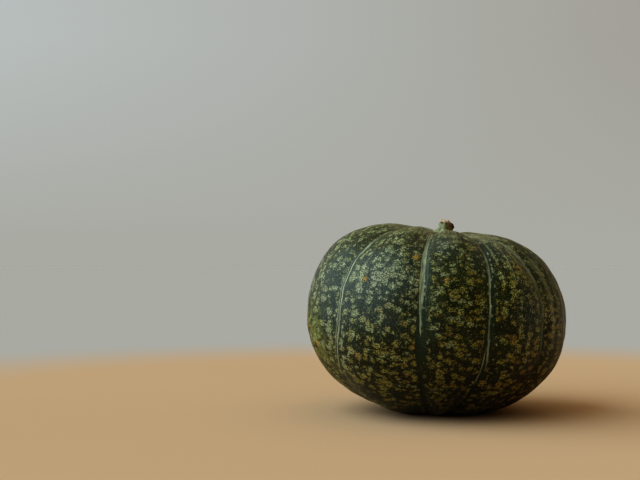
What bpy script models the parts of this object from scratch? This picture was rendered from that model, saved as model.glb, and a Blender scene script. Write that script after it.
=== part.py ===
"""Kabocha squash: one flattened, shallowly ribbed fruit and the stub of its cut stem.

The fruit is turned from a meridian profile and then parted into lobes. It leans a few degrees and
rests on the lobes round its blossom end, which are flat where they carry it. Metres, +Z up, the
origin at the centre of the footprint. Azimuths are in degrees from the front, -Y, towards +X.
"""

import math

import bpy
from mathutils import Matrix, Vector

OBJECT_NAME = "kabocha_squash"

# The fruit, before it leans. An exponent of 2 is a plain ellipse, and a larger one is squarer.
RADIUS = 0.0906
UPPER_HEIGHT = 0.0673
LOWER_HEIGHT = 0.0677
UPPER_EXPONENTS = (2.60, 2.22)
LOWER_EXPONENTS = (2.25, 2.03)
CROWN_HOLLOW_DEPTH = 0.0090
CROWN_HOLLOW_RADIUS = 0.037
SHOULDER_SWELL = 0.0012
BASE_HOLLOW_DEPTH = 0.0075
BASE_HOLLOW_RADIUS = 0.013

# The grooves between the lobes: azimuth at the widest ring, then its drift at the crown and base.
GROOVES = (
    (-46.0, -1.0, -24.0),
    (-7.0, -6.0, 4.0),
    (22.0, 5.0, -5.0),
    (51.5, 0.0, 1.0),
    (85.0, 2.0, 3.0),
    (121.0, -2.0, 4.0),
    (156.0, 3.0, -3.0),
    (192.0, 0.0, 4.0),
    (228.0, -3.0, -3.0),
    (264.0, 2.0, -9.0),
)
GROOVE_DEPTH = 0.0024
CROWN_GROOVE_GAIN = 0.45
BASE_GROOVE_LOSS = 0.35
PLAIN_CROWN_RADIUS = 0.010
FULL_GROOVE_RADIUS = 0.034

# How it rests: the lean to the right of the widest ring, and how much more the crown and how much
# less the base leans, its lean to the front, and the height that the lowest lobes lose to flats.
LEAN_RIGHT = 4.5
LEAN_BEND = 1.5
LEAN_FRONT = 1.4
REST_DEPTH = 0.0026

# The stem: height above its seat and radius, from the cut end's rim down to the flared foot.
STEM_PROFILE = (
    (0.0093, 0.0000),
    (0.0092, 0.0016),
    (0.0087, 0.0028),
    (0.0077, 0.0036),
    (0.0062, 0.0043),
    (0.0045, 0.0048),
    (0.0028, 0.0055),
    (0.0012, 0.0068),
    (0.0000, 0.0084),
    (0.0000, 0.0000),
)
STEM_RIDGES = 5
STEM_RIDGE_DEPTH = 0.0004
STEM_BEND = -0.0012
STEM_SHIFT = -0.0009
KNOB_SIZE = 0.0016
KNOB_AZIMUTH = 72.0
KNOB_HEIGHT = 0.0052
KNOB_SPREAD = 0.0023
SEAT_GAP = 0.0003

# Facets.
COLUMNS_PER_LOBE = 9
FRUIT_ROWS = 34
STEM_COLUMNS = 30


def clear_scene():
    for item in list(bpy.data.objects):
        bpy.data.objects.remove(item, do_unlink=True)


def make_material(name, colour, roughness):
    material = bpy.data.materials.new(name)
    material.use_nodes = True
    shader = material.node_tree.nodes["Principled BSDF"]
    shader.inputs["Base Color"].default_value = (*colour, 1.0)
    shader.inputs["Roughness"].default_value = roughness
    shader.inputs["Metallic"].default_value = 0.0
    return material


def turned_mesh(name, profile, columns):
    """A closed mesh turned about Z from (height, radius) points that run from top to bottom."""
    outline = bpy.data.meshes.new("outline")
    points = [(radius, 0.0, height) for height, radius in profile]
    outline.from_pydata(points, [(i, i + 1) for i in range(len(points) - 1)], [])
    item = bpy.data.objects.new("outline", outline)
    bpy.context.scene.collection.objects.link(item)
    screw = item.modifiers.new("turn", "SCREW")
    screw.axis = "Z"
    screw.steps = columns
    screw.render_steps = columns
    screw.use_merge_vertices = True
    screw.merge_threshold = 0.00001
    evaluated = item.evaluated_get(bpy.context.evaluated_depsgraph_get())
    solid = bpy.data.meshes.new_from_object(evaluated)
    solid.name = name
    bpy.data.objects.remove(item, do_unlink=True)
    bpy.data.meshes.remove(outline)
    return solid


def smoothstep(low, high, value):
    t = min(max((value - low) / (high - low), 0.0), 1.0)
    return t * t * (3.0 - 2.0 * t)


def meridian(polar):
    """Radius and height of the fruit's plain profile at a polar angle, 0 at the crown."""
    upper = polar < math.pi / 2
    radial, axial = UPPER_EXPONENTS if upper else LOWER_EXPONENTS
    radius = RADIUS * max(math.sin(polar), 0.0) ** (2.0 / radial)
    rise = abs(math.cos(polar)) ** (2.0 / axial)
    if upper:
        hollow = CROWN_HOLLOW_DEPTH * math.exp(-((radius / CROWN_HOLLOW_RADIUS) ** 2))
        return radius, UPPER_HEIGHT * rise - hollow
    hollow = BASE_HOLLOW_DEPTH * math.exp(-((radius / BASE_HOLLOW_RADIUS) ** 2))
    return radius, hollow - LOWER_HEIGHT * rise


def meridian_normal(polar):
    """The outward normal of the plain profile, as its radial and vertical parts."""
    step = 0.5 * math.pi / FRUIT_ROWS
    r0, z0 = meridian(max(polar - step, 0.0))
    r1, z1 = meridian(min(polar + step, math.pi))
    length = math.hypot(r1 - r0, z1 - z0)
    return (z0 - z1) / length, (r1 - r0) / length


def groove_azimuth(index, polar):
    """Where a groove runs at a polar angle: it drifts from its place on the widest ring."""
    azimuth, crown_drift, base_drift = GROOVES[index % len(GROOVES)]
    azimuth += 360.0 * (index // len(GROOVES))
    lean = math.cos(polar)
    drift = crown_drift if lean > 0.0 else base_drift
    return azimuth + drift * lean * lean


def lobe_azimuth(turn, polar):
    """Azimuth in degrees of a place counted in lobes round the fruit."""
    lobe = math.floor(turn)
    start = groove_azimuth(lobe, polar)
    end = groove_azimuth(lobe + 1, polar)
    return start + (end - start) * (turn - lobe)


def groove_depth(polar):
    """How far a groove lies below the lobes: deeper on the shoulder than under the fruit."""
    height = math.cos(polar)
    gain = 1.0 + CROWN_GROOVE_GAIN * max(height, 0.0) - BASE_GROOVE_LOSS * max(-height, 0.0)
    return GROOVE_DEPTH * gain


def shoulder_swell(azimuth, polar):
    """The shoulder stands fuller on the left of the fruit and slacker on its right."""
    return -SHOULDER_SWELL * math.sin(azimuth) * max(math.sin(2.0 * polar), 0.0)


def fruit_point(turn, polar):
    """A point of the ribbed skin, at a place counted in lobes and a polar angle."""
    radius, height = meridian(polar)
    normal_r, normal_z = meridian_normal(polar)
    azimuth = math.radians(lobe_azimuth(turn, polar))
    rise = shoulder_swell(azimuth, polar)
    rise -= groove_depth(polar) * (1.0 - abs(math.sin(math.pi * turn)))
    rise *= smoothstep(PLAIN_CROWN_RADIUS, FULL_GROOVE_RADIUS, radius)
    radius += rise * normal_r
    height += rise * normal_z
    return Vector((radius * math.sin(azimuth), -radius * math.cos(azimuth), height))


def lean_matrix(polar):
    right = Matrix.Rotation(math.radians(LEAN_RIGHT + LEAN_BEND * math.cos(polar)), 4, "Y")
    front = Matrix.Rotation(math.radians(LEAN_FRONT), 4, "X")
    return front @ right


def make_fruit():
    """The turned profile with every vertex moved to its place on the ribbed skin, then leant."""
    columns = COLUMNS_PER_LOBE * len(GROOVES)
    polars = [math.pi * row / FRUIT_ROWS for row in range(FRUIT_ROWS + 1)]
    rings = {round(math.cos(polar), 6): polar for polar in polars}
    sphere = [(math.cos(polar), math.sin(polar)) for polar in polars]
    sphere[0] = (1.0, 0.0)
    sphere[-1] = (-1.0, 0.0)
    mesh = turned_mesh("squash_body", sphere, columns)
    for vertex in mesh.vertices:
        angle = math.atan2(vertex.co.y, vertex.co.x) / (2.0 * math.pi)
        turn = round(angle % 1.0 * columns) % columns / COLUMNS_PER_LOBE
        polar = rings[round(vertex.co.z, 6)]
        vertex.co = lean_matrix(polar) @ fruit_point(turn, polar)
    floor = min(vertex.co.z for vertex in mesh.vertices) + REST_DEPTH
    for vertex in mesh.vertices:
        vertex.co.z = max(vertex.co.z, floor)
    return mesh


def make_stem():
    """The turned stem, fluted by its ridges, bent to the left and set on the crown."""
    mesh = turned_mesh("stem", STEM_PROFILE, STEM_COLUMNS)
    top = STEM_PROFILE[0][0]
    seat_radius = max(radius for _, radius in STEM_PROFILE) + abs(STEM_SHIFT)
    seat = next(z for r, z in map(meridian, crown_polars()) if r >= seat_radius)
    lean = lean_matrix(0.0)
    for vertex in mesh.vertices:
        radius = math.hypot(vertex.co.x, vertex.co.y)
        height = vertex.co.z
        if radius > 0.0:
            azimuth = math.atan2(vertex.co.x, -vertex.co.y)
            scale = 1.0 + stem_relief(azimuth, height) / radius
            vertex.co.x *= scale
            vertex.co.y *= scale
        vertex.co.x += STEM_SHIFT + STEM_BEND * (height / top) ** 2
        vertex.co.z = seat + SEAT_GAP + height
        vertex.co = lean @ vertex.co
    return mesh


def crown_polars():
    return (0.0005 * step for step in range(1000))


def stem_relief(azimuth, height):
    """How far the stem's side stands out: its long ridges, and the knob beside the cut end."""
    ridges = STEM_RIDGE_DEPTH * math.cos(STEM_RIDGES * azimuth)
    away = math.remainder(azimuth - math.radians(KNOB_AZIMUTH), 2.0 * math.pi)
    rise = (height - KNOB_HEIGHT) / KNOB_SPREAD
    return ridges + KNOB_SIZE * math.exp(-(away / 0.6) ** 2 - rise * rise)


def bounds(meshes):
    points = [vertex.co for mesh in meshes for vertex in mesh.vertices]
    low = Vector(min(p[axis] for p in points) for axis in range(3))
    high = Vector(max(p[axis] for p in points) for axis in range(3))
    return low, high


def add_object(name, mesh, material, collection):
    item = bpy.data.objects.new(name, mesh)
    collection.objects.link(item)
    mesh.materials.clear()
    mesh.materials.append(material)
    mesh.shade_smooth()
    mesh.set_sharp_from_angle(angle=math.radians(50.0))


def stand_on_origin(meshes):
    """Moves the meshes so that their box stands on the origin."""
    low, high = bounds(meshes)
    shift = Vector((-(low.x + high.x) / 2, -(low.y + high.y) / 2, -low.z))
    for mesh in meshes:
        mesh.transform(Matrix.Translation(shift))


def main():
    clear_scene()
    collection = bpy.data.collections.new(OBJECT_NAME)
    bpy.context.scene.collection.children.link(collection)
    fruit = make_fruit()
    stem = make_stem()
    stand_on_origin([fruit, stem])
    rind = make_material("rind", (0.030, 0.052, 0.020), 0.42)
    cork = make_material("stem_cork", (0.30, 0.28, 0.17), 0.85)
    add_object("squash_body", fruit, rind, collection)
    add_object("stem", stem, cork, collection)


main()
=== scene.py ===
"""Looks of the kabocha squash: its ribbed, mottled rind, its corky stem, floor, light and camera.

The fruit's skin is a fine grid of meridians and rings that follows the CAD body's ribs. Every vertex
carries what the rind's material needs to know of its place: how far it lies from the nearest
groove, how wide and how bright that groove's pale line is there, and where it is on the unrolled
skin. Shapes are in metres, except where a name ends in _mm or _MM, and sizes in the fruit's
materials are in mm. In the tables, azimuths are in degrees from the front, -Y, towards +X, and
polar angles in degrees from the crown.
"""

import math

import bpy
import numpy as np
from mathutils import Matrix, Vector


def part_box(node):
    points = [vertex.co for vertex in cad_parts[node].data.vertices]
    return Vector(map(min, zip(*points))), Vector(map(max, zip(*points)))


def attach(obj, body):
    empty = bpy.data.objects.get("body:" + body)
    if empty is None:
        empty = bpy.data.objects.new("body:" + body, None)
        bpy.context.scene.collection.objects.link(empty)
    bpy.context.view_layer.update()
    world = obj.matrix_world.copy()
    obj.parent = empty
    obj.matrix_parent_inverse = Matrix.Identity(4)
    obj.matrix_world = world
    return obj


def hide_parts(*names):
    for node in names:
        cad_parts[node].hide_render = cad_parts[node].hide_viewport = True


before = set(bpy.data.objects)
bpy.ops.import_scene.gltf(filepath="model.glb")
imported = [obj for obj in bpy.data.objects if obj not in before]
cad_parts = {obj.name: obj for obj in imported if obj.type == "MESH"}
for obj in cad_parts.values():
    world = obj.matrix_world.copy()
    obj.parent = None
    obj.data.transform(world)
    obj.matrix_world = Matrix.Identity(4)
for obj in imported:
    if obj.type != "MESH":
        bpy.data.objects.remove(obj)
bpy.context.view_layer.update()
MM = 1000.0  # per metre

# The fruit's plan, as the CAD body has it.
RADIUS = 0.0906
UPPER_HEIGHT = 0.0673
LOWER_HEIGHT = 0.0677
UPPER_EXPONENTS = (2.60, 2.22)
LOWER_EXPONENTS = (2.25, 2.03)
CROWN_HOLLOW = (0.0090, 0.037)
BASE_HOLLOW = (0.0075, 0.013)
SHOULDER_SWELL = 0.0012
GROOVE_DEPTH = 0.0024
CROWN_GROOVE_GAIN = 0.45
BASE_GROOVE_LOSS = 0.35
GROOVE_FADE = (0.010, 0.034)
GROOVE_ROUNDING = 0.07
CREASE_DEPTH = 0.0011
CREASE_WIDTH_MM = 6.0
CREASE_LEAST = 0.15
LEAN_RIGHT = 4.5
LEAN_BEND = 1.5
LEAN_FRONT = 1.4
REST_DEPTH = 0.0026
REST_ROUNDING = 0.0005

# The skin's own unevenness: height, wavelength and seed of its dents and of the fine ribs on its
# shoulder, the ribs' middle and spread in polar radians, and the scabs' height and slope.
DENTS = ((0.00035, 0.045, 11), (0.00010, 0.013, 12))
FINE_RIBS = (0.00010, 0.0040, 13)
FINE_RIB_BAND = (0.75, 0.55)
FINE_RIB_STRETCH = (1.0, 1.0, 0.08)
EVEN_POLES = (0.008, 0.020)
SCAB_RISE = 0.00035
SCAB_SLOPE_MM = 1.2

# The unrolled skin's scale: it crowds where the rings narrow, though less round the crown, by a
# share whose middle and spread are in polar radians.
NARROWEST = 0.008
CROWDING_POWER = 0.45
CROWN_EASING = (0.50, 0.15, 0.55)

# Each groove: azimuth at the widest ring, and its drift towards the crown and towards the base.
GROOVES = (
    (-46.0, -1.0, -24.0),
    (-7.0, -6.0, 4.0),
    (22.0, 5.0, -5.0),
    (51.5, 0.0, 1.0),
    (85.0, 2.0, 3.0),
    (121.0, -2.0, 4.0),
    (156.0, 3.0, -3.0),
    (192.0, 0.0, 4.0),
    (228.0, -3.0, -3.0),
    (264.0, 2.0, -9.0),
)

# Pale lines beside or in a groove, by kind. Each strand is a list of polar angle, offset to the
# east in mm, half width in mm and strength. The plain bands' widths are west and east, in mm.
LINE_KINDS = {
    "double": (
        ((14, 0.0, 0.30, 0.4), (30, -1.0, 0.45, 0.7), (42, -0.6, 0.7, 0.9), (52, 0.0, 0.9, 0.95),
         (62, 0.3, 0.60, 1.1), (76, 0.5, 0.65, 1.15), (95, 0.5, 0.65, 1.1), (108, 0.2, 0.65, 0.9),
         (118, -0.8, 0.65, 0.7), (130, -2.8, 0.5, 0.0)),
        ((40, -1.8, 0.4, 0.0), (58, -1.7, 0.4, 0.4), (70, -1.6, 0.50, 0.6), (92, -1.5, 0.60, 0.55),
         (108, -1.7, 0.6, 0.45), (120, -2.8, 0.5, 0.0)),
        (2.2, 3.2)),
    "streak": (
        ((12, 0.0, 0.5, 0.4), (25, 0.0, 0.9, 0.7), (40, 0.2, 1.1, 0.8), (52, 0.2, 1.6, 0.95),
         (66, 0.0, 1.7, 0.95), (78, 0.0, 1.2, 0.9), (86, 0.4, 0.85, 0.9), (92, 1.1, 0.5, 0.85),
         (96, 1.8, 0.2, 0.0)),
        ((40, 2.6, 0.3, 0.0), (52, 2.9, 0.4, 0.35), (72, 3.0, 0.3, 0.25), (84, 3.0, 0.3, 0.0)),
        (2.2, 5.4)),
    "forked": (
        ((8, 0.0, 0.4, 0.5), (25, -0.8, 0.5, 0.7), (38, -1.0, 0.7, 0.85), (48, 0.3, 0.9, 0.9),
         (60, 0.0, 0.85, 0.9), (75, 0.0, 0.6, 0.85), (90, 0.0, 0.6, 0.8), (98, 1.0, 0.7, 0.6),
         (106, 2.3, 0.6, 0.8), (112, 2.8, 0.5, 0.0)),
        ((96, 0.0, 0.4, 0.0), (103, -0.3, 0.5, 0.8), (110, -0.2, 0.5, 0.6), (114, -0.5, 0.4, 0.3),
         (119, -0.5, 0.5, 0.8), (124, -0.2, 0.4, 0.0)),
        (2.6, 4.2)),
    "soft": (
        ((16, 3.0, 0.8, 0.4), (35, 1.5, 1.5, 0.55), (50, 0.0, 1.8, 0.55), (64, 0.0, 1.7, 0.40),
         (80, 1.0, 1.5, 0.35), (92, -0.5, 1.3, 0.28), (112, 0.0, 1.0, 0.0)),
        ((22, -3.0, 0.5, 0.0), (36, -3.2, 0.6, 0.5), (52, -3.2, 0.5, 0.3), (62, -3.0, 0.4, 0.0)),
        (1.8, 2.4)),
}
GROOVE_LINES = ("double", "streak", "forked", "soft", "soft",
                "double", "streak", "forked", "soft", "double")

# Lines and streaks end between these distances from their groove or middle. Fields of distances
# from scabs and streaks go no further than the last number.
LINE_END_MM = (7.0, 9.0)
FAR_MM = 20.0

# The plain bands narrow by a share below the widest ring, between two angles in polar radians, and
# to a share on the crown, between two radii.
BAND_LOSS_BELOW = 0.55
BAND_BELOW = (1.65, 2.05)
BAND_ON_CROWN = 0.30
BAND_CROWN = (0.025, 0.075)

# Broad faint streaks on the lobes: azimuth, half width in mm, strength, and the polar angles
# between which they show. They fade in and out over some degrees.
STREAKS = (
    (29.5, 0.5, 0.50, 20, 56),
    (36.0, 0.6, 0.55, 20, 66),
    (42.5, 0.5, 0.40, 20, 60),
    (59.0, 1.3, 0.45, 40, 104),
    (69.0, 1.1, 0.35, 52, 100),
    (104.0, 1.0, 0.40, 30, 90),
    (137.0, 0.9, 0.40, 35, 80),
    (174.0, 1.0, 0.35, 28, 75),
    (210.0, 1.2, 0.40, 40, 100),
    (246.0, 0.9, 0.35, 30, 85),
)
STREAK_FADE = (12.0, 14.0)

# Places where the rind is another colour: azimuth, polar angle and radius in mm, then how much it
# turns yellow, how much it loses its flecks, or gains if negative, how much its flecks turn frosty
# and its ground bluer, partly painted bluish sheen, most of all on the window side to the west,
# and how much they run into streaks.
ZONES = (
    (-66.0, 95.0, 11.0, 0.9, 0.0, 0.0, 0.0),
    (-68.0, 115.0, 8.0, 0.5, 0.0, 0.0, 0.0),
    (-30.0, 68.0, 30.0, 0.0, 0.0, 0.6, 0.0),
    (-58.0, 80.0, 24.0, 0.0, 0.0, 0.5, 0.0),
    (-86.0, 60.0, 26.0, 0.0, 0.0, 0.8, 0.0),
    (-85.0, 82.0, 15.0, 0.0, 0.0, 0.6, 0.0),
    (60.0, 82.0, 18.0, 0.0, -0.35, 0.4, 0.0),
    (-24.0, 68.0, 20.0, 0.0, -0.50, 0.2, 0.0),
    (-50.0, 108.0, 22.0, 0.0, -1.1, 0.25, 0.0),
    (-60.0, 110.0, 15.0, 0.50, 0.0, 0.0, 0.0),
    (41.0, 80.0, 11.0, 0.0, 0.40, 0.9, 0.0),
    (-2.0, 38.0, 9.0, 0.0, -0.8, 0.9, 0.4),
    (28.0, 36.0, 16.0, 0.0, 0.0, 0.5, 0.0),
    (62.0, 52.0, 26.0, 0.0, 0.2, 0.2, 0.8),
    (72.0, 84.0, 20.0, 0.0, 0.0, 0.0, 0.6),
    (110.0, 100.0, 12.0, 0.6, 0.0, 0.0, 0.0),
    (150.0, 60.0, 30.0, 0.0, 0.0, 0.6, 0.0),
    (175.0, 55.0, 24.0, 0.0, 0.1, 0.0, 0.6),
    (200.0, 92.0, 10.0, 0.0, 0.5, 0.2, 0.0),
    (255.0, 108.0, 11.0, 0.6, 0.0, 0.0, 0.0),
    (262.0, 62.0, 22.0, 0.0, 0.0, 0.6, 0.2),
)

# Corky scabs on the rind: azimuth, polar angle and radius in mm.
SCABS = (
    (-34.0, 69.6, 1.5),
    (-13.0, 51.4, 1.9),
    (2.8, 64.6, 1.3),
    (41.8, 52.9, 1.6),
    (-65.2, 107.4, 1.8),
    (-75.0, 98.0, 1.6),
    (104.0, 74.0, 1.6),
    (171.0, 82.0, 2.1),
    (205.0, 58.0, 1.4),
    (248.0, 95.0, 1.7),
)

# The stem: its outline as height and radius, from the middle of the cut top down to the foot. The
# top turns into the side between two radii, and the foot ends between two heights.
STEM_PROFILE = (
    (0.0093, 0.0), (0.0092, 0.0016), (0.0087, 0.0028), (0.0077, 0.0036), (0.0062, 0.0043),
    (0.0045, 0.0048), (0.0028, 0.0055), (0.0012, 0.0068), (0.0, 0.0084), (0.0, 0.0),
)
STEM_HEIGHT = STEM_PROFILE[0][0]
STEM_SIDE = (0.0, 0.0045)
STEM_FOOT = (0.0005, 0.0040)
STEM_BEND = -0.0012
STEM_SHIFT = -0.0009

# Its ridges: number, share and phase, then their height and how much higher they are at the foot.
STEM_RIDGES = ((5, 1.0, 0.6), (9, 0.4, 2.0))
RIDGE_HEIGHT = 0.00028
FOOT_RIDGE_GAIN = 0.00045

# Its dried knob: where it is, the stem's radius there, half its width and height, and its depth.
KNOB_AZIMUTH = 70.0
KNOB_HEIGHT = 0.0050
KNOB_LEVER = 0.0047
KNOB_RADIUS = (0.0021, 0.0029)
KNOB_SIZE = 0.0015

# The hollow on its right: depth as a share of the radius, and the height and spread of it.
RIGHT_WAIST = 0.26
WAIST_BAND = (0.0026, 0.0020)

# Its roughness as height, wavelength and seed, and the heights between which the top's begins.
STEM_GRAIN = (0.00016, 0.0016, 21)
STEM_GRAIN_STRETCH = (1.0, 1.0, 0.35)
STEM_LUMPS = (0.00022, 0.0035, 22)
CUT_LUMPS = (0.00040, 0.0028, 23)
CUT_BAND = (0.0068, 0.0090)
FIBRE_RADIUS_MM = 6.0
STEM_COLUMNS = 120
STEM_ROWS = 110

# Grid of the skin. Its columns crowd towards the grooves.
PROFILE_SAMPLES = 4001
COLUMNS_PER_LOBE = 44
SKIN_ROWS = 196
COLUMN_CROWDING = 0.62

# The camera, level and a little to the left of the squash, as a 73 mm lens sees it.
CAMERA_DISTANCE = 0.90
CAMERA_HEIGHT = 0.118
CAMERA_PAN = 5.17
CAMERA_LENS = 72.7
CAMERA_SENSOR = 36.0

# The light: the side on which the room is brightest, its brightness from dimmest to brightest, its
# colours, and the window's side, width in degrees, power and colour.
BRIGHT_SIDE = (-0.35, 0.60, 0.72)
ROOM_LIGHT = (0.01, 0.46)
ROOM_DIM = (1.0, 0.78, 0.42)
ROOM_BRIGHT = (1.0, 0.97, 0.90)
WINDOW_SIDE = (-0.88, -0.22, 0.47)
WINDOW_WIDTH = 92.0
WINDOW_POWER = 2.72
WINDOW_COLOUR = (0.64, 0.87, 1.0)

# The backdrop, with painted window light to the left and painted shade to the right, and between
# which directions, as parts of a unit vector, its colours change.
BACKDROP_LOW = (0.330, 0.332, 0.308)
BACKDROP_PAINTED_LIGHT_LEFT = (0.382, 0.405, 0.400)
BACKDROP_PAINTED_SHADE_RIGHT = (0.308, 0.300, 0.273)
BACKDROP_ACROSS = (-0.33, 0.16)
BACKDROP_UP = (0.0, 0.15)

# The floor: tan near the fruit, as warm light from below, then as grey as the backdrop's foot.
NEAR_FLOOR = (0.655, 0.449, 0.291)
FAR_FLOOR = (0.547, 0.512, 0.499)
TAN_EDGE = (0.36, 0.64)
FLOOR_CLOUDING = 1.04
FLOOR_CLOUD_SIZE = 0.35
FLOOR_ROUGHNESS = 0.75
FLOOR_RINGS = (0.3, 0.6, 1.2, 2.5, 5.0)
FLOOR_CORNERS = 96


# ---------------------------------------------------------------- shapes

def smoothstep(low, high, value):
    t = np.clip((value - low) / (high - low), 0.0, 1.0)
    return t * t * (3.0 - 2.0 * t)


def bell(value, centre, width):
    return np.exp(-((value - centre) / width) ** 2)


def ripple(points, wavelength, seed, waves=36):
    """Smooth seeded noise of unit size: a sum of plane waves in random directions."""
    source = np.random.default_rng(seed)
    directions = source.normal(size=(waves, 3))
    directions /= np.linalg.norm(directions, axis=1)[:, None]
    numbers = 2.0 * math.pi / (wavelength * source.uniform(0.7, 1.5, waves))
    phases = source.uniform(0.0, 2.0 * math.pi, waves)
    total = np.zeros(points.shape[:-1])
    for direction, number, phase in zip(directions, numbers, phases):
        total += np.sin(points @ direction * number + phase)
    return total * math.sqrt(2.0 / waves)


def ripples(points, *layers):
    """Layers of noise, each given as its height, wavelength and seed."""
    return sum(height * ripple(points, length, seed) for height, length, seed in layers)


def turned(radius, azimuth, height):
    """Points at azimuths in radians from the front."""
    return np.stack([radius * np.sin(azimuth), -radius * np.cos(azimuth), height], axis=-1)


def meridian(polar):
    """Radius and height of the fruit's plain profile at polar angles in radians."""
    upper = polar < math.pi / 2
    radial = np.where(upper, UPPER_EXPONENTS[0], LOWER_EXPONENTS[0])
    axial = np.where(upper, UPPER_EXPONENTS[1], LOWER_EXPONENTS[1])
    radius = RADIUS * np.clip(np.sin(polar), 0.0, 1.0) ** (2.0 / radial)
    rise = np.abs(np.cos(polar)) ** (2.0 / axial)
    crown = UPPER_HEIGHT * rise - CROWN_HOLLOW[0] * bell(radius, 0.0, CROWN_HOLLOW[1])
    base = BASE_HOLLOW[0] * bell(radius, 0.0, BASE_HOLLOW[1]) - LOWER_HEIGHT * rise
    return radius, np.where(upper, crown, base)


def meridian_normal(polar, step=0.01):
    """The profile's outward direction, as its radial and upward parts."""
    r0, z0 = meridian(np.maximum(polar - step, 0.0))
    r1, z1 = meridian(np.minimum(polar + step, math.pi))
    length = np.hypot(r1 - r0, z1 - z0)
    return (z0 - z1) / length, (r1 - r0) / length


def groove_azimuth(index, polar):
    """Azimuth in degrees of grooves, which are counted on round the fruit."""
    plan = np.array(GROOVES)[index % len(GROOVES)]
    height = np.cos(polar)
    drift = np.where(height > 0.0, plan[..., 1], plan[..., 2]) * height * height
    return plan[..., 0] + 360.0 * (index // len(GROOVES)) + drift


def lobe_azimuth(turn, polar):
    """Azimuth in degrees of places counted in lobes round the fruit."""
    lobe = np.floor(turn).astype(int)
    start = groove_azimuth(lobe, polar)
    end = groove_azimuth(lobe + 1, polar)
    return start + (end - start) * (turn - lobe)


def lean(points, polar):
    """Leans points to the right and to the front, the crown more than the base."""
    right = np.radians(LEAN_RIGHT + LEAN_BEND * np.cos(polar))
    front = math.radians(LEAN_FRONT)
    x = points[..., 0] * np.cos(right) + points[..., 2] * np.sin(right)
    z = points[..., 2] * np.cos(right) - points[..., 0] * np.sin(right)
    y = points[..., 1] * math.cos(front) - z * math.sin(front)
    z = points[..., 1] * math.sin(front) + z * math.cos(front)
    return np.stack([x, y, z], axis=-1)


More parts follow.
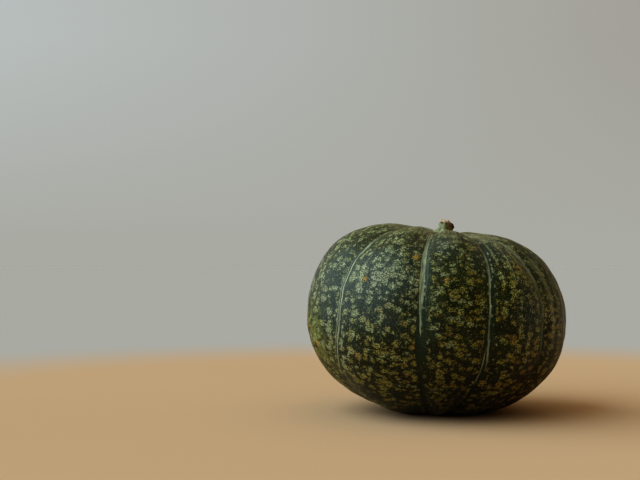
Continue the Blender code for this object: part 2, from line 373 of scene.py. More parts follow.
class Skin:
    """The fruit's skin as a grid: turn is a place in lobes round it, polar runs down it."""

    def __init__(self):
        fine = np.linspace(0.0, math.pi, PROFILE_SAMPLES)
        radius, height = meridian(fine)
        arc = np.concatenate([[0.0], np.cumsum(np.hypot(np.diff(radius), np.diff(height)))])
        rows = np.interp(np.linspace(0.0, arc[-1], SKIN_ROWS + 1)[1:-1], arc, fine)
        step = np.arange(COLUMNS_PER_LOBE) / COLUMNS_PER_LOBE
        phase = step - COLUMN_CROWDING * np.sin(2.0 * math.pi * step) / (2.0 * math.pi)
        turn = (np.arange(len(GROOVES))[:, None] + phase[None, :]).ravel()
        self.polar, self.turn = np.meshgrid(rows, turn, indexing="ij")
        self.radius, self.height = meridian(self.polar)
        self.azimuth = np.radians(lobe_azimuth(self.turn, self.polar))
        self.unrolled = self.unroll(fine, arc, radius)
        self.groove = np.round(self.turn).astype(int)
        away = np.abs(self.azimuth - np.radians(groove_azimuth(self.groove, self.polar)))
        self.groove_mm = away * self.radius * MM
        self.points = self.shape()

    def unroll(self, fine, arc, radius):
        """Pattern coordinates in mm: round a cylinder, and down a scale that crowds at the poles."""
        share, *crown = CROWN_EASING
        crowd = (RADIUS / np.maximum(radius, NARROWEST)) ** CROWDING_POWER
        crowd *= 1.0 - share * bell(fine, *crown)
        down = np.concatenate([[0.0], np.cumsum(np.diff(arc) * crowd[1:])])
        widest = np.radians(lobe_azimuth(self.turn, np.full_like(self.polar, math.pi / 2)))
        down = np.interp(self.polar, fine, down)
        return MM * turned(RADIUS, widest, down)

    def shape(self):
        height = np.cos(self.polar)
        gain = 1.0 + CROWN_GROOVE_GAIN * np.maximum(height, 0.0)
        gain -= BASE_GROOVE_LOSS * np.maximum(-height, 0.0)
        valley = np.hypot(np.sin(math.pi * self.turn), GROOVE_ROUNDING)
        valley = 1.0 - valley / math.hypot(1.0, GROOVE_ROUNDING)
        rise = -SHOULDER_SWELL * np.sin(self.azimuth) * np.maximum(np.sin(2.0 * self.polar), 0.0)
        rise -= GROOVE_DEPTH * gain * valley
        crease = np.exp(-self.groove_mm / CREASE_WIDTH_MM) * np.maximum(height, CREASE_LEAST)
        rise -= CREASE_DEPTH * crease
        rise *= smoothstep(*GROOVE_FADE, self.radius)
        rise += self.unevenness()
        normal_r, normal_z = meridian_normal(self.polar)
        radius = self.radius + rise * normal_r
        height = self.height + rise * normal_z
        leant = lean(turned(radius, self.azimuth, height), self.polar)
        above = leant[..., 2] - (leant[..., 2].min() + REST_DEPTH)
        leant[..., 2] = 0.5 * (above + np.sqrt(above ** 2 + REST_ROUNDING ** 2))
        return leant

    def unevenness(self):
        """The dents, the shoulder's fine ribs and the scabs, in metres."""
        uneven = ripples(self.place(), *DENTS)
        ribs = ripples(self.unrolled / MM * FINE_RIB_STRETCH, FINE_RIBS)
        uneven += ribs * bell(self.polar, *FINE_RIB_BAND)
        uneven *= smoothstep(*EVEN_POLES, self.radius)
        return uneven + SCAB_RISE * np.clip(1.0 - self.scab_mm() / SCAB_SLOPE_MM, 0.0, 1.0)

    def scab_mm(self):
        """Distance in mm outside the nearest scab's edge, 0 inside it."""
        nearest = np.full(self.polar.shape, FAR_MM)
        for azimuth, polar, size in SCABS:
            away = self.away_mm(azimuth, polar) - size
            nearest = np.minimum(nearest, np.maximum(away, 0.0))
        return nearest

    def side_mm(self):
        """Signed distance in mm from the nearest groove, positive to its east."""
        return self.groove_mm * np.where(self.turn >= self.groove, 1.0, -1.0)

    def strand_fields(self):
        """For both strands of the nearest groove's line: offset, half width and strength."""
        degrees = np.degrees(self.polar)
        fields = [np.zeros(self.polar.shape + (3,)) for _ in range(2)]
        for index, kind in enumerate(GROOVE_LINES):
            here = self.groove % len(GROOVES) == index
            for field, strand in zip(fields, LINE_KINDS[kind]):
                at, *columns = np.array(strand).T
                for k, column in enumerate(columns):
                    field[here, k] = np.interp(degrees[here], at, column)
        for field in fields:
            field[..., 2] *= 1.0 - smoothstep(*LINE_END_MM, self.groove_mm)
        return {"strand_a": fields[0], "strand_b": fields[1]}

    def bareness(self):
        """Distance from the nearest groove as a share of its plain band."""
        bands = np.array([LINE_KINDS[kind][2] for kind in GROOVE_LINES])
        widths = bands[self.groove % len(GROOVES)]
        width = np.where(self.turn >= self.groove, widths[..., 1], widths[..., 0])
        width *= 1.0 - BAND_LOSS_BELOW * smoothstep(*BAND_BELOW, self.polar)
        open_up = smoothstep(*BAND_CROWN, self.radius)
        return self.groove_mm / (width * (BAND_ON_CROWN + (1.0 - BAND_ON_CROWN) * open_up))

    def streak_field(self):
        """Signed distance in mm to the nearest broad streak, its half width and its strength."""
        degrees = np.degrees(self.polar)
        field = np.zeros(self.polar.shape + (3,))
        nearest = np.full(self.polar.shape, math.inf)
        for azimuth, half, strength, start, end in STREAKS:
            away = (np.degrees(self.azimuth) - azimuth + 180.0) % 360.0 - 180.0
            away = np.radians(away) * self.radius * MM
            show = smoothstep(start, start + STREAK_FADE[0], degrees)
            show *= 1.0 - smoothstep(end - STREAK_FADE[1], end, degrees)
            closer = np.abs(away) < np.abs(nearest)
            nearest = np.where(closer, away, nearest)
            field[..., 1] = np.where(closer, half, field[..., 1])
            field[..., 2] = np.where(closer, strength * show, field[..., 2])
        field[..., 0] = np.clip(nearest, -FAR_MM, FAR_MM)
        field[..., 2] *= 1.0 - smoothstep(*LINE_END_MM, np.abs(nearest))
        return field

    def zone_fields(self):
        """How yellow, bare, frosty and combed the rind is; the frostiness is partly painted bluish
        sheen.
        """
        names = ("yellow", "bare", "frost_and_sheen", "comb")
        fields = np.zeros((len(names),) + self.polar.shape)
        for azimuth, polar, size, *amounts in ZONES:
            near = bell(self.away_mm(azimuth, polar), 0.0, size)
            fields += near * np.array(amounts)[:, None, None]
        return dict(zip(names, np.minimum(fields, 1.0)))

    def place(self):
        """Where each vertex is on the plain, upright fruit."""
        return turned(self.radius, self.azimuth, self.height)

    def away_mm(self, azimuth, polar):
        """Distance in mm from a spot that is given by its azimuth and polar angle in degrees."""
        radius, height = meridian(np.array(math.radians(polar)))
        spot = turned(radius, math.radians(azimuth), height)
        return np.linalg.norm(self.place() - spot, axis=-1) * MM


def fitted(points, box):
    """Points moved and stretched, by under one percent, so that their box is the CAD node's."""
    low, high = points.min(axis=0), points.max(axis=0)
    target_low, target_high = np.array(box[0]), np.array(box[1])
    return target_low + (points - low) * (target_high - target_low) / (high - low)


def with_ends(rows):
    """Values of a grid's vertices in one list, with the first and last rows' means at its ends."""
    flat = rows.reshape(-1, *rows.shape[2:])
    return np.concatenate([[rows[0].mean(axis=0)], flat, [rows[-1].mean(axis=0)]])


def grid_mesh(name, rings, box):
    """A closed mesh from rings of points, top to bottom, that fills the box."""
    count, around = rings.shape[:2]
    here = np.arange(around)
    after = (here + 1) % around
    faces = [(0, 1 + a, 1 + b) for a, b in zip(after, here)]
    for row in range(count - 1):
        top, low = 1 + row * around, 1 + (row + 1) * around
        faces += [(top + a, low + a, low + b, top + b) for a, b in zip(here, after)]
    end, tail = 1 + count * around, 1 + (count - 1) * around
    faces += [(end, tail + b, tail + a) for a, b in zip(here, after)]
    points = fitted(with_ends(rings), box)
    mesh = bpy.data.meshes.new(name)
    mesh.from_pydata(points.tolist(), [], [tuple(int(i) for i in face) for face in faces])
    mesh.validate()
    mesh.shade_smooth()
    return mesh


def add_attributes(mesh, fields):
    """Values or vectors, by name, for every vertex of a grid mesh."""
    for name, rows in fields.items():
        vector = rows.ndim == 3
        attribute = mesh.attributes.new(name, "FLOAT_VECTOR" if vector else "FLOAT", "POINT")
        flat = with_ends(rows).astype(np.float32).ravel()
        attribute.data.foreach_set("vector" if vector else "value", flat)


def add_object(name, data):
    made = bpy.data.objects.new(name, data)
    bpy.context.scene.collection.objects.link(made)
    return made


def make_squash():
    skin = Skin()
    mesh = grid_mesh("squash", skin.points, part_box("squash_body"))
    add_attributes(mesh, {
        "unrolled": skin.unrolled,
        "side_mm": skin.side_mm(),
        "scab_mm": skin.scab_mm(),
        "polar": np.degrees(skin.polar),
        "radius_mm": skin.radius * MM,
        "bareness": skin.bareness(),
        "streak": skin.streak_field(),
        **skin.strand_fields(),
        **skin.zone_fields(),
    })
    mesh.materials.append(rind_material())
    piece = add_object("squash", mesh)
    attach(piece, "root")
    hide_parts("squash_body")


class StemShape:
    """The cork stub: a fluted foot that flares into the crown, a cut top and a dried knob."""

    def __init__(self):
        rise, width = np.array(STEM_PROFILE).T
        arc = np.concatenate([[0.0], np.cumsum(np.hypot(np.diff(rise), np.diff(width)))])
        at = np.linspace(0.0, arc[-1], STEM_ROWS + 2)[1:-1]
        angle = 2.0 * math.pi * np.arange(STEM_COLUMNS) / STEM_COLUMNS
        self.angle, self.height = np.meshgrid(angle, np.interp(at, arc, rise))
        self.radius = np.meshgrid(angle, np.interp(at, arc, width))[1]
        self.side = smoothstep(*STEM_SIDE, self.radius)
        self.points = self.shape()

    def knob(self):
        """How high the dried knob's dome stands, from 1 at its middle to 0 at its edge."""
        away = np.angle(np.exp(1j * (self.angle - math.radians(KNOB_AZIMUTH)))) * KNOB_LEVER
        distance = np.hypot(away / KNOB_RADIUS[0], (self.height - KNOB_HEIGHT) / KNOB_RADIUS[1])
        return np.sqrt(np.clip(1.0 - distance ** 2, 0.0, 1.0))

    def shape(self):
        flute = sum(share * np.cos(n * self.angle + phase) for n, share, phase in STEM_RIDGES)
        foot = 1.0 - smoothstep(*STEM_FOOT, self.height)
        waist = np.maximum(np.sin(self.angle), 0.0) ** 1.5 * bell(self.height, *WAIST_BAND)
        radius = self.radius * (1.0 - RIGHT_WAIST * waist)
        radius += self.side * flute * (RIDGE_HEIGHT + FOOT_RIDGE_GAIN * foot)
        radius += KNOB_SIZE * self.knob() * self.side
        where = turned(radius, self.angle, self.height)
        rough = ripples(where * STEM_GRAIN_STRETCH, STEM_GRAIN) + ripples(where, STEM_LUMPS)
        points = turned(radius + self.side * rough, self.angle, self.height)
        points[..., 0] += STEM_SHIFT + STEM_BEND * (self.height / STEM_HEIGHT) ** 2
        points[..., 2] += smoothstep(*CUT_BAND, self.height) * ripples(where, CUT_LUMPS)
        return points

    def fibre(self):
        """Pattern coordinates in mm: on a cylinder, and running together on the cut top."""
        x, y = FIBRE_RADIUS_MM * np.sin(self.angle), FIBRE_RADIUS_MM * np.cos(self.angle)
        around = np.stack([x, y, self.height * MM], axis=-1)
        side = self.side[..., None]
        return around * side + (1.0 - side) * np.array([0.0, 0.0, STEM_HEIGHT * MM])


def make_stem():
    stem = StemShape()
    mesh = grid_mesh("stem_stub", lean(stem.points, 0.0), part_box("stem"))
    add_attributes(mesh, {
        "fibre": stem.fibre(),
        "knob": stem.knob(),
        "up_mm": stem.height * MM,
        "cut": 1.0 - stem.side,
    })
    mesh.materials.append(stem_material())
    piece = add_object("stem_stub", mesh)
    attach(piece, "root")
    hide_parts("stem")


# ---------------------------------------------------------------- materials

class Graph:
    """A node tree that is written as nested calls."""

    def __init__(self, tree):
        self.tree = tree

    def put(self, socket, value):
        if isinstance(value, bpy.types.NodeSocket):
            self.tree.links.new(value, socket)
        elif isinstance(value, tuple) and len(value) == 3 and socket.type == "RGBA":
            socket.default_value = (*value, 1.0)
        else:
            socket.default_value = value

    def add(self, kind, inputs, **settings):
        node = self.tree.nodes.new(kind)
        for key, value in settings.items():
            setattr(node, key, value)
        for key, value in inputs.items():
            self.put(node.inputs[key], value)
        return node

    def attribute(self, name, output="Fac"):
        return self.add("ShaderNodeAttribute", {}, attribute_name=name).outputs[output]

    def math(self, operation, *values, clamp=False):
        inputs = dict(enumerate(values))
        node = self.add("ShaderNodeMath", inputs, operation=operation, use_clamp=clamp)
        return node.outputs[0]

    def plus(self, a, b):
        return self.math("ADD", a, b)

    def minus(self, a, b):
        return self.math("SUBTRACT", a, b)

    def larger(self, a, b):
        return self.math("MAXIMUM", a, b)

    def times(self, product, *factors, clamp=False):
        """The product of them all, kept within 0 and 1 if clamp is true."""
        for factor in factors:
            product = self.math("MULTIPLY", product, factor, clamp=clamp)
        return product

    def sum_of(self, a, factor, b):
        """a times the factor, plus b."""
        return self.math("MULTIPLY_ADD", a, factor, b)

    def ragged(self, value, noise, amount):
        """The value moved up and down by noise, by up to half the amount."""
        return self.sum_of(self.minus(noise, 0.5), amount, value)

    def step(self, value, low, high):
        """0 below low and 1 above high, smooth between. With low above high it falls instead."""
        inputs = {0: value, 1: low, 2: high, 3: 0.0, 4: 1.0}
        node = self.add("ShaderNodeMapRange", inputs, interpolation_type="SMOOTHSTEP")
        return node.outputs[0]

    def span(self, value, low, high, to_low, to_high):
        """From to_low at low to to_high at high, and level outside them."""
        inputs = {0: value, 1: low, 2: high, 3: to_low, 4: to_high}
        return self.add("ShaderNodeMapRange", inputs, clamp=True).outputs[0]

    def mix(self, factor, a, b):
        node = self.add("ShaderNodeMix", {0: factor, 6: a, 7: b}, data_type="RGBA")
        return node.outputs[2]

    def vector(self, operation, a, b):
        return self.add("ShaderNodeVectorMath", {0: a, 1: b}, operation=operation).outputs[0]

    def scaled(self, vector, scale):
        inputs = {0: vector, "Scale": scale}
        return self.add("ShaderNodeVectorMath", inputs, operation="SCALE").outputs[0]

    def stretched(self, where, factors):
        """A place whose pattern is drawn out along the axes with factors below 1."""
        return self.vector("MULTIPLY", where, factors)

    def parts(self, vector):
        return self.add("ShaderNodeSeparateXYZ", {0: vector}).outputs

    def noise(self, where, size, detail=2.0, rough=0.5, output=0):
        inputs = {"Vector": where, "Scale": 1.0 / size, "Detail": detail, "Roughness": rough}
        return self.add("ShaderNodeTexNoise", inputs).outputs[output]

    def warped(self, where, size, amount):
        """A place pushed about by coloured noise of the given size, by up to half the amount."""
        colour = self.noise(where, size, 2.0, 0.55, output=1)
        push = self.vector("SUBTRACT", colour, (0.5, 0.5, 0.5))
        return self.vector("ADD", where, self.scaled(push, amount))

    def cells(self, where, size, randomness=1.0):
        """Distance to the nearest cell's middle, and three random numbers of that cell."""
        inputs = {"Vector": where, "Scale": 1.0 / size, "Randomness": randomness}
        found = self.add("ShaderNodeTexVoronoi", inputs).outputs
        return found["Distance"], self.add("ShaderNodeSeparateColor", {0: found["Color"]}).outputs

    def bump(self, height, distance):
        inputs = {"Height": height, "Distance": distance, "Strength": 1.0}
        return self.add("ShaderNodeBump", inputs).outputs[0]


class Material(Graph):
    """A Principled material."""

    def __init__(self, name):
        self.material = bpy.data.materials.new(name)
        self.material.use_nodes = True
        super().__init__(self.material.node_tree)

    def finish_with(self, colour, roughness, specular=None, normal=None):
        shader = self.tree.nodes["Principled BSDF"]
        self.put(shader.inputs["Base Color"], colour)
        self.put(shader.inputs["Roughness"], roughness)
        if specular is not None:
            self.put(shader.inputs["Specular IOR Level"], specular)
        if normal is not None:
            self.put(shader.inputs["Normal"], normal)
        return self.material


DARK_RIND = (0.0100, 0.0155, 0.0012)
GREEN_RIND = (0.0210, 0.0320, 0.0035)
# Slate blue of the ground: partly its own tone, partly painted bluish sheen of the window.
BLUE_RIND_AND_SHEEN = (0.0195, 0.0345, 0.0215)
MID_GREEN = (0.0640, 0.0710, 0.0110)
# Teal of the plain bands: partly their own colour, partly painted sheen.
TEAL_AND_SHEEN = (0.0180, 0.0420, 0.0250)
SAGE = (0.375, 0.400, 0.185)
OLIVE = (0.352, 0.305, 0.066)
OCHRE = (0.330, 0.225, 0.045)
# Pale bluish flecks: partly the rind's own frosty flecks, partly painted bluish sheen.
FROST_AND_SHEEN = (0.370, 0.395, 0.295)
YELLOW_GREEN = (0.300, 0.320, 0.050)
BEAD = (0.300, 0.335, 0.220)
LINE_GREEN = (0.410, 0.425, 0.270)
# Grey of the crown's rays: partly their own colour, partly painted grazing sheen on the crest.
RAY_GREY_AND_SHEEN = (0.290, 0.280, 0.165)
RAY_OLIVE = (0.230, 0.210, 0.100)
SCAB_TAN = (0.500, 0.340, 0.085)
SCAB_BROWN = (0.300, 0.160, 0.035)
RIND_SPECULAR = 0.345
RIND_RELIEF = 0.00025


class Rind(Material):
    """The rind: its clouded ground, flecks, pale lines, the crown's rays and corky scabs, with
    painted sheen and shade in places.

    Places on it are in mm on the unrolled skin, with east to the fruit's right, and polar angles
    are in degrees. from_band is 0 at a groove and passes 1 at its plain band's ragged edge.
    """

    def __init__(self):
        super().__init__("rind")
        self.where = self.attribute("unrolled", "Vector")
        self.east = self.parts(self.where)[0]
        self.polar = self.attribute("polar")
        self.frost_and_sheen = self.attribute("frost_and_sheen")
        self.comb = self.attribute("comb")
        self.fine = self.noise(self.where, 0.8, 2.0, 0.6)
        self.sway = self.noise(self.where, 6.0, 3.0, 0.6)
        grains = self.stretched(self.warped(self.where, 0.8, 0.5), (0.8, 0.8, 1.1))
        self.grain = self.minus(self.noise(grains, 0.80, 2.0, 0.6), 0.5)
        patchy = self.step(self.noise(self.where, 4.0, 2.0), 0.38, 0.58)
        self.yellow = self.times(self.attribute("yellow"), patchy)
        band_noise = self.noise(self.where, 2.4, 3.0, 0.6)
        self.from_band = self.ragged(self.attribute("bareness"), band_noise, 0.8)

    def ground(self):
        """Dark bottle green, clouded, darker towards the base by painted shade, bluer in patches
        that are partly painted bluish sheen, and teal with beads in plain bands, the teal partly
        painted sheen.
        """
        cloud = self.noise(self.where, 14.0, 3.0, 0.6)
        ground = self.mix(self.step(cloud, 0.38, 0.62), DARK_RIND, GREEN_RIND)
        # Bluer patches: at random over the rind, and as painted bluish sheen where it is frosty,
        # mostly on the window side.
        blue_and_sheen = self.sum_of(self.frost_and_sheen, 0.50, self.noise(self.where, 26.0, 2.0))
        ground = self.mix(self.step(blue_and_sheen, 0.54, 0.80), ground, BLUE_RIND_AND_SHEEN)
        # The ground's own fine speckle, times painted shade that darkens it towards the base.
        speckle_and_painted_shade = self.span(self.noise(self.where, 0.55, 1.0, 0.5), 0.32, 0.68, 0.60, 1.40)
        speckle_and_painted_shade = self.times(speckle_and_painted_shade, self.span(self.polar, 76.0, 118.0, 1.0, 0.35))
        ground = self.scaled(ground, speckle_and_painted_shade)
        plain = self.minus(1.0, self.step(self.from_band, 0.55, 1.15))
        # Teal in the plain bands, partly painted sheen, weaker lower down and missing at the crown.
        high = self.span(self.polar, 80.0, 112.0, 0.6, 0.15)
        teal_and_sheen = self.times(plain, high, self.step(self.polar, 28.0, 46.0))
        ground = self.mix(teal_and_sheen, ground, TEAL_AND_SHEEN)
        drops = self.stretched(self.warped(self.where, 1.4, 1.2), (1.0, 1.0, 0.6))
        away, luck = self.cells(drops, 2.2)
        bead = self.step(self.minus(self.span(luck[0], 0.20, 1.0, 0.0, 0.44), away), -0.10, 0.10)
        bead = self.times(bead, plain, self.span(self.polar, 70.0, 98.0, 0.90, 0.10))
        return self.mix(bead, ground, BEAD)

    def crowding(self, bent, free):
        """How closely flecks crowd: in clusters that stand in columns, with dots between them.

        Also a random number of each cluster's own.
        """
        away, luck = self.cells(self.stretched(bent, (0.80, 0.80, 1.20)), 4.6, 0.85)
        reach = self.span(luck[0], 0.0, 1.0, 0.22, 0.66)
        cluster = self.step(self.minus(reach, away), -0.22, 0.22)
        dot_away, dot_luck = self.cells(bent, 2.2)
        dot = self.minus(self.span(dot_luck[1], 0.35, 1.0, 0.0, 0.55), dot_away)
        dot = self.step(dot, -0.08, 0.14)
        upright = self.stretched(self.where, (1.0, 1.0, 0.10))
        column = self.sum_of(self.noise(upright, 5.5, 1.5, 0.5), 1.3, -0.87)
        column = self.sum_of(self.noise(upright, 2.0, 1.0, 0.5), 0.45, column)
        crowd = self.sum_of(dot, 0.55, self.plus(column, cluster))
        return self.times(crowd, free, clamp=True), luck[1]

    def fleck_colour(self, luck):
        """From sage through olive to ochre, warmer to the east and below, where painted warm light
        from the floor adds to their own ochre, with zones of others.
        """
        tint = self.sum_of(luck, 0.26, self.noise(self.where, 9.0, 2.0, 0.5))
        tint = self.plus(tint, self.span(self.east, -60.0, 10.0, -0.07, 0.05))
        # Warmer below: partly the flecks' own ochre, partly painted warm light bounced from the
        # floor.
        tint = self.plus(tint, self.span(self.polar, 45.0, 140.0, -0.13, 0.10))
        colour = self.mix(self.step(tint, 0.50, 0.64), SAGE, OLIVE)
        colour = self.mix(self.step(tint, 0.72, 0.84), colour, OCHRE)
        colour = self.mix(self.times(self.yellow, 0.8), colour, YELLOW_GREEN)
        # Frosty flecks, partly painted bluish sheen of the window.
        return self.mix(self.frost_and_sheen, colour, FROST_AND_SHEEN)

    def flecks(self, surface):
        """Grains that run together where they crowd, in a green halo, among fine specks. Their
        brightness carries painted light and shade.
        """
        free = self.minus(self.step(self.from_band, 0.70, 1.25), self.attribute("bare"))
        free = self.larger(free, 0.0)
        free = self.times(free, self.span(self.comb, 0.0, 1.0, 1.0, 0.45))
        bent = self.warped(self.warped(self.where, 4.5, 2.8), 1.4, 1.1)
        crowd, luck = self.crowding(bent, free)
        score = self.times(self.grain, self.span(self.polar, 74.0, 108.0, 2.3, 1.8))
        score = self.sum_of(crowd, self.span(self.polar, 74.0, 108.0, 0.40, 0.46), score)
        self.fleck = self.step(score, 0.14, 0.66)
        # Brighter at crowded cores, their own tone; then painted light and shade: darker towards the
        # base, brighter to the west on the window side, darkest in the front middle and brighter
        # again to the east.
        tone_and_painted_light = self.times(
            self.span(score, 0.12, 0.74, 0.47, 1.39),
            self.span(self.polar, 58.0, 112.0, 0.98, 0.69),
            self.span(self.east, -48.0, -5.0, 1.13, 0.87),
            self.span(self.east, 5.0, 60.0, 1.0, 1.45))
        colour = self.scaled(self.fleck_colour(luck), tone_and_painted_light)
        halo = self.step(self.ragged(self.times(crowd, 0.6), self.fine, 1.6), 0.05, 0.75)
        # Fewer halos towards the base, which darkens it there: painted shade.
        halo = self.times(halo, self.span(self.polar, 62.0, 112.0, 0.75, 0.28))
        surface = self.mix(halo, surface, MID_GREEN)
        surface = self.mix(self.times(self.yellow, 0.55), surface, YELLOW_GREEN)
        speck = self.times(
            self.step(self.noise(bent, 1.1, 2.0, 0.65), 0.55, 0.68),
            self.times(free, 0.55, clamp=True),
            self.span(self.east, -50.0, 10.0, 1.0, 0.25))
        surface = self.mix(speck, surface, colour)
        return self.mix(self.fleck, surface, colour)

    def lines(self, surface):
        """The two strands of each groove's pale line, and the broad streaks on the lobes."""
        tone = self.noise(self.stretched(self.where, (1.0, 1.0, 0.25)), 1.6, 3.0)
        threads = self.noise(self.stretched(self.where, (1.0, 1.0, 0.07)), 0.95, 2.0, 0.6)
        tone = self.span(tone, 0.3, 0.65, 0.55, 1.0)
        tone = self.times(tone, self.span(threads, 0.38, 0.58, 0.40, 1.20))
        side = self.ragged(self.attribute("side_mm"), self.sway, 2.2)
        for name in ("strand_b", "strand_a"):
            middle, half, strength = self.parts(self.attribute(name, "Vector"))
            off = self.math("ABSOLUTE", self.minus(side, middle))
            line = self.step(self.math("DIVIDE", off, half), 1.30, 0.65)
            surface = self.mix(self.times(line, strength, tone), surface, LINE_GREEN)
        side, half, strength = self.parts(self.attribute("streak", "Vector"))
        off = self.math("ABSOLUTE", self.ragged(side, self.sway, 2.2))
        line = self.step(self.math("DIVIDE", off, half), 1.8, 0.5)
        return self.mix(self.times(line, strength, tone), surface, LINE_GREEN)

    def crown(self, surface):
        """Pale rays that run out of the stem and through combed places, partly the rind's own
        streaks and partly painted grazing sheen on the crest, and a collar round it.
        """
        radius = self.attribute("radius_mm")
        reach = self.times(self.step(radius, 70.0, 20.0), self.step(self.polar, 70.0, 50.0))
        reach = self.larger(reach, self.times(self.comb, 0.55))
        rays_and_sheen = self.noise(self.stretched(self.where, (1.0, 1.0, 0.10)), 2.3, 2.0, 0.6)
        rays_and_sheen = self.step(self.sum_of(reach, 0.17, rays_and_sheen), 0.55, 0.66)
        rays_and_sheen = self.times(rays_and_sheen, self.span(reach, 0.0, 0.6, 0.0, 0.65))
        surface = self.mix(rays_and_sheen, surface, self.mix(self.comb, RAY_GREY_AND_SHEEN, RAY_OLIVE))
        collar = self.step(self.sum_of(self.sway, 8.0, radius), 24.0, 12.0)
        return self.mix(self.times(collar, 0.75), surface, LINE_GREEN)

    def scabs(self, surface):
        """Golden grains with brown between them."""
        torn = self.noise(self.where, 1.4, 3.0, 0.7)
        edge = self.sum_of(torn, -2.4, self.attribute("scab_mm"))
        self.scab = self.step(self.sum_of(self.grain, -7.0, edge), -0.3, -1.1)
        colour = self.mix(self.step(self.grain, -0.09, 0.09), SCAB_BROWN, SCAB_TAN)
        return self.mix(self.scab, surface, colour)


def rind_material():
    g = Rind()
    surface = g.scabs(g.crown(g.lines(g.flecks(g.ground()))))
    rough = g.span(g.fine, 0.3, 0.7, 0.38, 0.48)
    rough = g.sum_of(g.scab, 0.20, g.sum_of(g.fleck, 0.14, rough))
    relief = g.sum_of(g.fleck, 0.5, g.times(g.fine, 0.35))
    return g.finish_with(surface, rough, RIND_SPECULAR, g.bump(relief, RIND_RELIEF))


CORK_GREEN = (0.245, 0.264, 0.130)
CORK_PALE = (0.430, 0.425, 0.270)
CORK_BROWN = (0.160, 0.095, 0.040)
CORK_OLIVE = (0.190, 0.150, 0.045)
CORK_RUST = (0.400, 0.200, 0.050)
CUT_CREAM = (0.660, 0.480, 0.330)
KNOB_BROWN = (0.055, 0.030, 0.013)
KNOB_RUST = (0.200, 0.095, 0.030)
CORK_RELIEF = 0.0004


def stem_material():
    """Fibrous cork, pale green to the left, olive and rust to the right, with a cream cut top."""
    g = Material("stem_cork")
    fibre = g.attribute("fibre", "Vector")
    up = g.attribute("up_mm")
    strands = g.noise(g.stretched(fibre, (1.0, 1.0, 0.22)), 0.8, 3.0, 0.65)
    spots = g.noise(fibre, 1.3, 4.0, 0.7)
    surface = g.mix(g.step(strands, 0.40, 0.62), CORK_GREEN, CORK_PALE)
    east = g.ragged(g.parts(fibre)[0], strands, 6.0)
    high = g.step(up, 1.0, 3.6)
    surface = g.mix(g.times(g.step(east, -1.2, 1.2), high), surface, CORK_OLIVE)
    rust = g.times(g.step(east, 2.2, 3.2), g.step(east, 6.5, 5.0), high)
    surface = g.mix(rust, surface, CORK_RUST)
    surface = g.mix(g.times(g.step(spots, 0.52, 0.66), 0.7), surface, CORK_BROWN)
    rim = g.ragged(up, spots, 2.4)
    surface = g.mix(g.times(g.step(rim, 5.6, 7.0), 0.75), surface, CORK_BROWN)
    cream = g.ragged(g.attribute("cut"), spots, 0.9)
    top = g.larger(g.step(rim, 7.2, 8.0), g.step(cream, 0.25, 0.5))
    surface = g.mix(top, surface, CUT_CREAM)
    dark = g.step(g.ragged(g.attribute("knob"), spots, 0.5), 0.15, 0.50)
    surface = g.mix(dark, surface, g.mix(g.step(spots, 0.45, 0.65), KNOB_BROWN, KNOB_RUST))
    rough = g.span(spots, 0.3, 0.7, 0.72, 0.92)
    relief = g.plus(g.times(strands, 0.7), g.times(spots, 0.5))
    return g.finish_with(surface, rough, normal=g.bump(relief, CORK_RELIEF))


# ---------------------------------------------------------------- stage

def make_floor():
    """A plain pale floor: a disc that is tan near the fruit and grey further away.

    It has no gloss, so that it meets the backdrop without a seam at low angles.
    """
    angles = 2.0 * math.pi * np.arange(FLOOR_CORNERS) / FLOOR_CORNERS
    verts = [(0.0, 0.0, 0.0)]
    verts += [(r * math.cos(a), r * math.sin(a), 0.0) for r in FLOOR_RINGS for a in angles]
    sides = [(i, (i + 1) % FLOOR_CORNERS) for i in range(FLOOR_CORNERS)]
    faces = [(0, 1 + i, 1 + j) for i, j in sides]
    for ring in range(len(FLOOR_RINGS) - 1):
        low, high = 1 + ring * FLOOR_CORNERS, 1 + (ring + 1) * FLOOR_CORNERS
        faces += [(low + i, high + i, high + j, low + j) for i, j in sides]
    mesh = bpy.data.meshes.new("floor")
    mesh.from_pydata(verts, [], faces)
    g = Material("pale_floor")
    place = g.add("ShaderNodeTexCoord", {}).outputs["Object"]
    away = g.add("ShaderNodeVectorMath", {0: place}, operation="LENGTH").outputs["Value"]
    lighter = tuple(FLOOR_CLOUDING * part for part in NEAR_FLOOR)
    near = g.mix(g.noise(place, FLOOR_CLOUD_SIZE, 2.0), NEAR_FLOOR, lighter)
    colour = g.mix(g.step(away, *TAN_EDGE), near, FAR_FLOOR)
    mesh.materials.append(g.finish_with(colour, FLOOR_ROUGHNESS, specular=0.0))
    floor = add_object("floor", mesh)


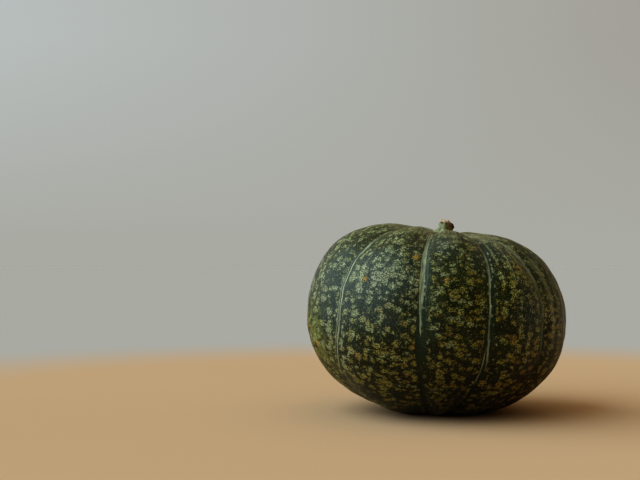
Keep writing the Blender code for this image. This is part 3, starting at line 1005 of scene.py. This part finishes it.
def make_light():
    """A pale backdrop with painted window light to the left and painted shade to the right, a large
    soft window to the left and a room that dims to the front.
    """
    world = bpy.data.worlds.new("studio")
    bpy.context.scene.world = world
    world.use_nodes = True
    g = Graph(world.node_tree)
    room = g.tree.nodes["Background"]
    toward = g.add("ShaderNodeTexCoord", {}).outputs["Generated"]
    back = g.add("ShaderNodeVectorMath", {0: toward, 1: BRIGHT_SIDE}, operation="DOT_PRODUCT")
    light = g.span(back.outputs["Value"], -0.9, 1.0, *ROOM_LIGHT)
    g.put(room.inputs["Color"], g.mix(light, ROOM_DIM, ROOM_BRIGHT))
    g.put(room.inputs["Strength"], light)
    axes = g.parts(toward)
    # Painted light and shade on the backdrop: lighter and bluer to the left, darker to the right.
    wall = g.mix(g.span(axes[0], *BACKDROP_ACROSS, 0.0, 1.0), BACKDROP_PAINTED_LIGHT_LEFT, BACKDROP_PAINTED_SHADE_RIGHT)
    wall = g.mix(g.span(axes[2], *BACKDROP_UP, 0.0, 1.0), BACKDROP_LOW, wall)
    backdrop = g.add("ShaderNodeBackground", {"Color": wall})
    seen = g.add("ShaderNodeLightPath", {}).outputs["Is Camera Ray"]
    either = g.add("ShaderNodeMixShader", {0: seen, 1: room.outputs[0], 2: backdrop.outputs[0]})
    g.put(g.tree.nodes["World Output"].inputs["Surface"], either.outputs[0])
    sun = bpy.data.lights.new("window", "SUN")
    sun.energy = WINDOW_POWER
    sun.angle = math.radians(WINDOW_WIDTH)
    sun.color = WINDOW_COLOUR
    lamp = add_object("window", sun)
    lamp.rotation_euler = Vector(WINDOW_SIDE).to_track_quat("Z", "Y").to_euler()
    bpy.context.scene.view_settings.view_transform = "Standard"
    bpy.context.scene.view_settings.look = "High Contrast"


def make_camera():
    data = bpy.data.cameras.new("camera")
    data.lens = CAMERA_LENS
    data.sensor_width = CAMERA_SENSOR
    camera = add_object("camera", data)
    camera.location = (0.0, -CAMERA_DISTANCE, CAMERA_HEIGHT)
    camera.rotation_euler = (math.radians(90.0), 0.0, math.radians(CAMERA_PAN))
    bpy.context.scene.camera = camera


make_squash()
make_stem()
make_floor()
make_light()
make_camera()
